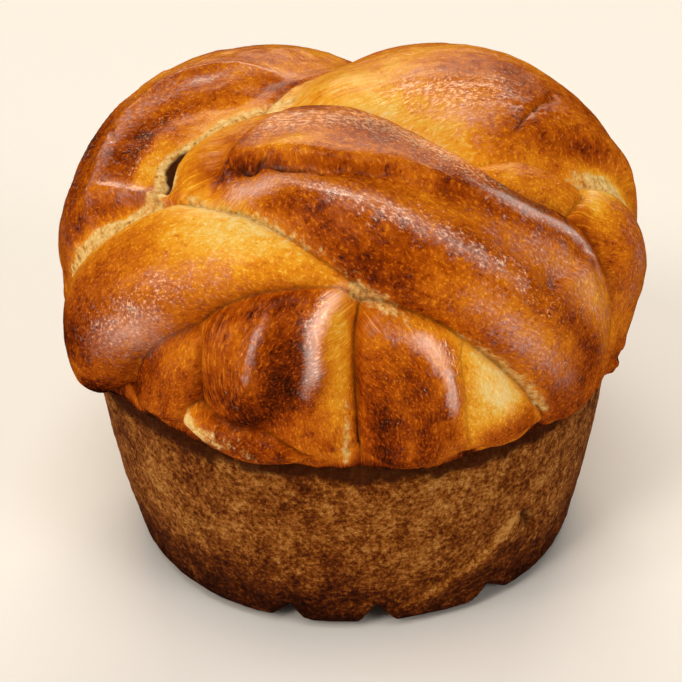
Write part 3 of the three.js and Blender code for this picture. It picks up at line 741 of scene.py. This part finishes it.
def crown_surface(places, angle, along, rags):
    """How far the crown stands out from its envelope, and the values its material reads."""
    compass = angle - math.pi / 2
    from_rim = along - RIM_ALONG
    height, values = crown_fields(along * np.cos(compass), along * np.sin(compass))
    crisp = crispness(angle, from_rim)
    band = smoothstep(from_rim + RIM_DARK_STRAY * rags, *RIM_DARK_EDGE)
    values["brown"] += RIM_DARKENING * band + CRISP_BROWNING * crisp
    fade = 1 - smoothstep(from_rim, -RELIEF_FADE, 0)
    return height + crown_relief(values, places, crisp) * fade, values


# ---- base
def wall_seams(angle, radius, height):
    """Depth, lift and painted shade of the seams at the bottom edge."""
    cut, lift, dark = (np.zeros_like(angle) for _ in range(3))
    inwards = smoothstep(radius, SEAM_START, SOLE_RADIUS)
    top_share, gain = SEAM_TAPER
    for degrees, depth, half_width, seam_height in SEAMS:
        across = np.abs(wrapped(angle - math.radians(degrees))) * radius
        up = np.clip(1 - height / seam_height, 0, 1)
        wedge = np.clip(1 - across / (half_width * (top_share + gain * up)), 0, 1)
        cut += depth * wedge * np.sqrt(up) * inwards
        lift += SEAM_LIFT * depth * wedge * up * inwards
        dark = np.maximum(dark, smoothstep(wedge * np.sqrt(up), 0, SEAM_SHADE))
    return cut, lift, dark


def base_surface(places, angle, radius, from_rim):
    """How far the base stands out and up from its envelope, and the values its material reads."""
    height = places[:, 2]
    round_wall = wrapped(angle) * RIM_RADIUS
    cut, lift, dark = wall_seams(angle, radius, height)
    slits = painted(WALL_SLITS, round_wall, height)
    width, *rows = WALL_FOLD
    nearest, side, push = line_field(rows, round_wall, height)
    fold = WALL_FOLD_SHARE * push * two_sided(side, nearest, width, WALL_FOLD_SPAN * width)
    rough = noise(places, WALL_LUMPS, SEED + 5, 2) + noise(places, WALL_PORES, SEED + 6, 2)
    # ragged band of painted shade close under the crown's overhang, which also carries flakes
    edge = LIP_SHADE * (1 + noise(places, LIP_RAGS, SEED + 10, 3))
    lip = 1 - smoothstep(from_rim, edge - LIP_SOFTNESS, edge + LIP_SOFTNESS)
    waves = sum(amount * np.sin(lobes * angle + phase) for lobes, amount, phase in WALL_WAVES)
    waves *= (1 - WAVE_LOSS * height / RIM_HEIGHT) * smoothstep(radius, WAVE_START, SOLE_RADIUS)
    offset = waves - cut + fold - slits + rough * smoothstep(height, 0, SOLE_FADE)
    offset += lip * noise(places, LIP_FLAKES, SEED + 12, 2)
    return offset * smoothstep(from_rim, 0, WALL_FADE), lift, {
        # painted shade in the seams and slits and close under the crown
        "crease": np.maximum(np.maximum(dark, SLIT_DARKNESS * slits), lip),
        "torn": bell(nearest, width) * smoothstep(push, 0, 1),
        "brown": 1 - height / RIM_HEIGHT,
    }


# ---- mesh
def rings():
    """Length along the envelope of each of the mesh's rings, and the number of its points."""
    for start, end, edge in (
        (CROWN_EDGE, RIM_ALONG, CROWN_EDGE),
        (RIM_ALONG, SOLE_ALONG, WALL_EDGE),
        (SOLE_ALONG, ENV_ALONG[-1], SOLE_EDGE),
    ):
        count = max(1, round((end - start) / edge))
        for place in np.linspace(start, end, count, endpoint=False):
            radius = float(np.interp(place, ENV_ALONG, ENV_RADIUS))
            yield place, max(6, round(2 * math.pi * radius / edge))


def stitch(first, second):
    """Triangles between two rings, each given as its first vertex, count and angle offset."""
    start_a, count_a, offset_a = first
    start_b, count_b, offset_b = second
    faces = []
    i = j = 0
    while i < count_a or j < count_b:
        edge = (start_a + i % count_a, start_b + j % count_b)
        a_is_next = (i + 1 + offset_a) / count_a <= (j + 1 + offset_b) / count_b
        if j >= count_b or (i < count_a and a_is_next):
            i += 1
            faces.append((*edge, start_a + i % count_a))
        else:
            j += 1
            faces.append((*edge, start_b + j % count_b))
    return faces


def surface_grid():
    """Places on the envelope, by length along it and angle from the front, and triangles."""
    along, angle, faces = [0.0], [0.0], []
    previous = None
    for k, (place, count) in enumerate(rings()):
        ring = (len(along), count, 0.5 * (k % 2))
        along += [place] * count
        for i in range(count):
            turn = 2 * math.pi * (i + ring[2]) / count
            angle.append(turn - FRONT_DETAIL * math.sin(turn))
        if previous is None:
            faces += [(0, ring[0] + i, ring[0] + (i + 1) % count) for i in range(count)]
        else:
            faces += stitch(previous, ring)
        previous = ring
    last = len(along)
    along.append(float(ENV_ALONG[-1]))
    angle.append(0.0)
    start, count, _ = previous
    faces += [(start + i, last, start + (i + 1) % count) for i in range(count)]
    return np.array(along), np.array(angle), faces


def loaf_surface(along, angle):
    """Points of the loaf's surface, the values that its materials read, and which are crown."""
    radius, height, out, up = envelope_at(along)
    compass = angle - math.pi / 2
    places = turned(radius, compass, height)
    from_rim = along - RIM_ALONG
    rags = noise(places, RIM_RAGS, SEED + 7, 2)
    crown = from_rim < -TINY
    base = ~crown
    lift, sideways, base_lift = (np.zeros(len(along)) for _ in range(3))
    fields = (field[crown] for field in (places, angle, along, rags))
    lift[crown], crown_values = crown_surface(*fields)
    fields = (field[base] for field in (places, angle, radius, from_rim))
    sideways[base], base_lift[base], base_values = base_surface(*fields)
    values = {name: np.zeros(len(along)) for name in CROWN_VALUES}
    for part, fields in ((crown, crown_values), (base, base_values)):
        for name, field in fields.items():
            values[name][part] = field

    # painted shade along the crease where crown and base meet
    rim_line = bell(from_rim, RIM_CREASE_WIDTH)
    shade, stray = RIM_SHADE
    values["crease"] = np.maximum(values["crease"], rim_line * (shade + stray * rags))
    rise = np.interp(np.degrees(wrapped(angle)), *zip(*RIM_LINE))
    rise += noise(places, RIM_WANDER, SEED + 8, 2)
    radius = radius + lift * out + sideways - RIM_CREASE * rim_line
    height = height + lift * up + base_lift + rise * bell(from_rim, RIM_LINE_SPAN)
    height[-1] = 0
    return turned(radius, compass, height), values, crown


def link(data, name):
    thing = bpy.data.objects.new(name, data)
    bpy.context.scene.collection.objects.link(thing)
    return thing


def build_loaf():
    along, angle, faces = surface_grid()
    points, values, crown = loaf_surface(along, angle)
    mesh = bpy.data.meshes.new("loaf")
    mesh.from_pydata([tuple(p) for p in points * MM], [], faces)
    mesh.update()
    for name, field in values.items():
        data = mesh.attributes.new(name, "FLOAT", "POINT").data
        data.foreach_set("value", field.astype(np.float32))
    mesh.polygons.foreach_set("use_smooth", [True] * len(mesh.polygons))
    mesh.materials.append(crown_material())
    mesh.materials.append(tin_material())
    on_base = ~crown[[face[0] for face in faces]]
    mesh.polygons.foreach_set("material_index", on_base.astype(np.int32))
    return link(mesh, "loaf")


# ---- materials
class Nodes:
    """Short calls for building a node tree."""

    def __init__(self, name):
        self.material = bpy.data.materials.new(name)
        self.material.use_nodes = True
        self.tree = self.material.node_tree
        self.tree.nodes.clear()

    def add(self, kind, inputs, **settings):
        node = self.tree.nodes.new("ShaderNode" + kind)
        for key, value in settings.items():
            setattr(node, key, value)
        for key, value in inputs.items():
            if isinstance(value, bpy.types.NodeSocket):
                self.tree.links.new(value, node.inputs[key])
            else:
                node.inputs[key].default_value = value
        return node

    def place(self):
        return self.add("TexCoord", {}).outputs["Object"]

    def attributes(self, *names):
        nodes = [self.add("Attribute", {}, attribute_name=name) for name in names]
        return [node.outputs["Fac"] for node in nodes]

    def math(self, operation, a, b, clamp=False):
        return self.add("Math", {0: a, 1: b}, operation=operation, use_clamp=clamp).outputs[0]

    def plus(self, *values):
        return self.math("ADD", *values)

    def minus(self, a, b):
        return self.math("SUBTRACT", a, b)

    def times(self, a, b):
        return self.math("MULTIPLY", a, b)

    def varied(self, field, *swings):
        """The field plus others, each centred on 0 and scaled."""
        for other, swing in swings:
            field = self.plus(field, self.times(self.minus(other, 0.5), swing))
        return field

    def drawn(self, vector, share):
        """The vector with its first part shrunk, which stretches features."""
        inputs = {0: vector, 1: (share, 1.0, 1.0)}
        return self.add("VectorMath", inputs, operation="MULTIPLY").outputs[0]

    def noise(self, vector, size, detail=2.0, roughness=0.5):
        """Noise from 0 to 1 with features about size millimetres across."""
        inputs = {"Scale": 1 / (size * MM), "Detail": detail, "Roughness": roughness}
        return self.add("TexNoise", {"Vector": vector, **inputs}).outputs["Fac"]

    def step(self, field, low, high):
        inputs = {"Value": field, "From Min": low, "From Max": high}
        return self.add("MapRange", inputs, interpolation_type="SMOOTHSTEP").outputs[0]

    def ramp(self, factor, stops):
        node = self.add("ValToRGB", {"Fac": factor})
        elements = node.color_ramp.elements
        elements.remove(elements[-1])
        for i, (position, *colour) in enumerate(stops):
            element = elements[0] if i == 0 else elements.new(position)
            element.position = position
            element.color = srgb(*colour)
        return node.outputs["Color"]

    def mix(self, factor, a, colour, blend="MIX"):
        inputs = {0: factor, 6: a, 7: colour}
        return self.add("Mix", inputs, data_type="RGBA", blend_type=blend).outputs[2]

    def bump(self, height, distance, **normal):
        """Bump of a height from 0 to 1 that stands for distance millimetres."""
        inputs = {"Height": height, "Strength": 1.0, "Distance": distance * MM}
        return self.add("Bump", {**inputs, **normal}).outputs[0]

    def finish(self, inputs):
        shader = self.add("BsdfPrincipled", inputs)
        self.add("OutputMaterial", {"Surface": shader.outputs[0]})
        return self.material


def srgb(*display):
    """Linear colour from 0-255 display values."""
    shares = [c / 255 for c in display]
    return (*(c / 12.92 if c <= 0.04045 else ((c + 0.055) / 1.055) ** 2.4 for c in shares), 1.0)


def crust_skin(n, drawn, brown, blister, glaze, patches, mottle, streaks, grain):
    """Colour of the crust: its browning, painted glints on its blisters and painted sheen on its
    wash.
    """
    flecks = n.noise(drawn, size=1.0, detail=4.0, roughness=0.75)
    pale = n.step(n.noise(drawn, size=0.9, detail=3.0, roughness=0.6), 0.55, 0.62)
    dark = n.varied(n.noise(drawn, size=1.1, detail=4.0, roughness=0.7), (mottle, 0.4))
    specks = n.minus(n.times(n.step(dark, 0.56, 0.68), DARK_SPECK), n.times(pale, PALE_SPECK))
    tone = n.varied(brown, (patches, 0.30), (mottle, 0.44), (streaks, 0.34), (grain, 0.20))
    skin = n.ramp(n.plus(tone, specks), CRUST_STOPS)
    # painted glints on the blisters
    sparks = n.varied(n.times(blister, 0.45), (flecks, 2.72), (mottle, 0.8))
    painted_glints = n.times(n.step(sparks, 0.46, 0.86), n.minus(0.9, n.step(brown, 0.6, 1.1)))
    skin = n.mix(painted_glints, skin, srgb(*PAINTED_GLINT), "ADD")
    # painted sheen where the wash is thick, broken up by flecks
    painted_sheen = n.varied(glaze, (flecks, 1.36), (mottle, 0.9))
    return n.mix(n.step(painted_sheen, 0.15, 1.3), skin, srgb(*PAINTED_SHEEN), "ADD")


def crown_material():
    """Egg-washed crust: browned in patches and streaks, glossy, with pale crumb where it tore,
    painted shade in its creases and cracks, and painted glints and sheen.
    """
    n = Nodes("washed_crust")
    place = n.place()
    run, across, crease, brown, torn, blister, glaze = n.attributes(*CROWN_VALUES)
    strand = n.add("CombineXYZ", {0: n.times(run, MM), 1: n.times(across, MM)}).outputs[0]
    patches = n.noise(place, size=18.0, detail=3.0)
    mottle = n.noise(place, size=4.0, detail=4.0, roughness=0.6)
    streaks = n.drawn(strand, STREAK_SHARE)
    streaks = n.noise(streaks, size=1.5, detail=4.0, roughness=0.65)
    grain = n.noise(place, size=0.8, roughness=0.6)
    drawn = n.drawn(strand, FLECK_SHARE)
    skin = crust_skin(n, drawn, brown, blister, glaze, patches, mottle, streaks, grain)
    crumb = n.ramp(n.noise(place, size=1.8, detail=4.0, roughness=0.7), CRUMB_STOPS)
    rags = n.noise(place, size=2.2, detail=4.0, roughness=0.7)
    bare = n.step(n.varied(torn, (rags, 1.3)), 0.2, 0.55)
    colour = n.mix(n.times(bare, CRUMB_COVER), skin, crumb)
    shaded = n.times(n.step(crease, 0.3, 0.9), CREASE_COVER)

    crinkle = n.plus(n.times(blister, 0.6), 0.4)
    wrinkles = n.times(n.noise(place, size=2.0, detail=3.0, roughness=0.6), crinkle)
    relief = n.bump(streaks, distance=0.25)
    relief = n.bump(wrinkles, distance=0.7, Normal=relief)
    relief = n.bump(n.times(grain, crinkle), distance=0.25, Normal=relief)
    ripples = n.noise(place, size=2.4, detail=4.0, roughness=0.65)
    matt = n.plus(n.plus(n.times(mottle, 0.25), n.times(patches, 0.2)), n.times(torn, 0.45))
    return n.finish({
        "Base Color": n.mix(shaded, colour, srgb(*CREASE_SHADE)),
        "Roughness": n.plus(matt, 0.02, True),
        "Normal": relief,
        "Specular IOR Level": PLAIN_SPECULAR,
        "Specular Tint": srgb(*WARM_GLOSS),
        "Coat Weight": n.plus(glaze, 0.05, True),
        "Coat Roughness": WASH_ROUGHNESS,
        "Coat Normal": n.bump(ripples, distance=0.3),
    })


def tin_material():
    """Crust baked against the tin: matt, porous and freckled, darker towards the sole, with painted
    shade in its seams, slits and creases and close under the crown.
    """
    n = Nodes("tin_crust")
    place = n.place()
    low_down, pale, crease = n.attributes("brown", "torn", "crease")
    freckles = n.noise(place, size=1.4, detail=5.0, roughness=0.8)
    blotches = n.noise(place, size=6.0, detail=3.0, roughness=0.6)
    patches = n.noise(place, size=28.0)
    tone = n.varied(0.60, (freckles, 2.3), (blotches, 0.9), (patches, 0.7))
    tone = n.minus(tone, n.times(n.step(low_down, 0.45, 1.0), 0.46))
    colour = n.ramp(n.plus(tone, n.times(pale, 0.3)), TIN_CRUST_STOPS)
    relief = n.bump(blotches, distance=1.4)
    return n.finish({
        # painted shade in seams, slits, the rim crease and close under the crown
        "Base Color": n.mix(n.times(crease, TIN_CREASE_COVER), colour, srgb(*CREASE_SHADE)),
        "Roughness": TIN_ROUGHNESS,
        "Normal": n.bump(freckles, distance=1.1, Normal=relief),
        "Specular IOR Level": PLAIN_SPECULAR,
    })


# ---- stage, lights and camera
def build_stage():
    half = FLOOR_HALF * MM
    corners = [(-half, -half, 0), (half, -half, 0), (half, half, 0), (-half, half, 0)]
    mesh = bpy.data.meshes.new("floor")
    mesh.from_pydata(corners, [], [(0, 1, 2, 3)])
    paper = {"Base Color": srgb(*PAPER), "Roughness": PAPER_ROUGHNESS}
    mesh.materials.append(Nodes("floor_paper").finish(paper))
    floor = link(mesh, "floor")
    floor.visible_glossy = False


def build_lights():
    aim = Vector((0, 0, LIGHT_AIM * MM))
    for name, (azimuth, elevation, distance, size, power, colour, glossy) in LIGHTS.items():
        light = bpy.data.lights.new(name, "AREA")
        light.shape = "RECTANGLE"
        light.size, light.size_y = size
        light.energy = power
        light.color = colour
        lamp = link(light, name)
        lamp.visible_glossy = glossy
        a, e = math.radians(azimuth), math.radians(elevation)
        away = Vector((math.cos(e) * math.sin(a), -math.cos(e) * math.cos(a), math.sin(e)))
        lamp.location = aim + distance * away
        lamp.rotation_euler = (-away).to_track_quat("-Z", "Y").to_euler()
    world = bpy.data.worlds.new("studio")
    bpy.context.scene.world = world
    world.use_nodes = True
    background = world.node_tree.nodes["Background"].inputs
    background["Color"].default_value = srgb(*ROOM)
    background["Strength"].default_value = ROOM_STRENGTH
    world.cycles_visibility.glossy = False


def build_camera():
    """Camera in front, looking down on the loaf."""
    camera = link(bpy.data.cameras.new("camera"), "camera")
    camera.data.sensor_width = CAMERA_SENSOR
    camera.data.lens = CAMERA_LENS
    pose = Matrix.Translation((0, 0, CAMERA_AIM * MM))
    pose @= Matrix.Rotation(math.radians(90 - CAMERA_ELEVATION), 4, "X")
    pose @= Matrix.Translation((0, 0, CAMERA_DISTANCE * MM))
    for degrees, axis in CAMERA_TURNS:
        pose @= Matrix.Rotation(math.radians(degrees), 4, axis)
    camera.matrix_world = pose
    bpy.context.scene.camera = camera


def main():
    loaf = build_loaf()
    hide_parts("bread")
    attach(loaf, "root")
    build_stage()
    build_lights()
    build_camera()
    bpy.context.scene.view_settings.view_transform = "Standard"


main()
